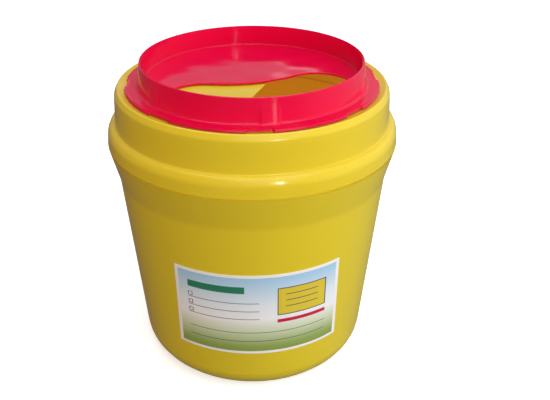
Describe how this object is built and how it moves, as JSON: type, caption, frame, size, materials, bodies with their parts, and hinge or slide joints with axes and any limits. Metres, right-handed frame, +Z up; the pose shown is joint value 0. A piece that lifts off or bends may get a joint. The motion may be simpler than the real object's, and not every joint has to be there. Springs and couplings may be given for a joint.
{
  "type": "sharps container",
  "caption": "Round tapered sharps container: a bin, a snap-fit lid with a drop hole, and a rotary shutter cap that turns to cover or uncover the hole.",
  "frame": {"origin": "centre of the foot ring on the surface that the container stands on", "axes": "+Z up along the container's axis, -Y towards the label at the front, +X to the right seen from the front"},
  "size_m": [0.2308, 0.2308, 0.2543],
  "materials": {
    "bin_yellow": "semi-gloss moulded polypropylene, a little translucent",
    "lid_yellow": "semi-gloss moulded polypropylene",
    "cap_red": "high gloss moulded polypropylene",
    "label_film": "printed film with a satin surface"
  },
  "bodies": {
    "container": {"bin_body": "bin_yellow", "lid": "lid_yellow", "label": "label_film"},
    "cap": {"rotary_cap": "cap_red"}
  },
  "joints": [
    {"name": "cap_turn", "type": "hinge", "parent": "container", "child": "cap", "pos_m": [0, 0, 0.236], "axis": [0, 0, 1], "range_deg": [-126, 54]}
  ]
}
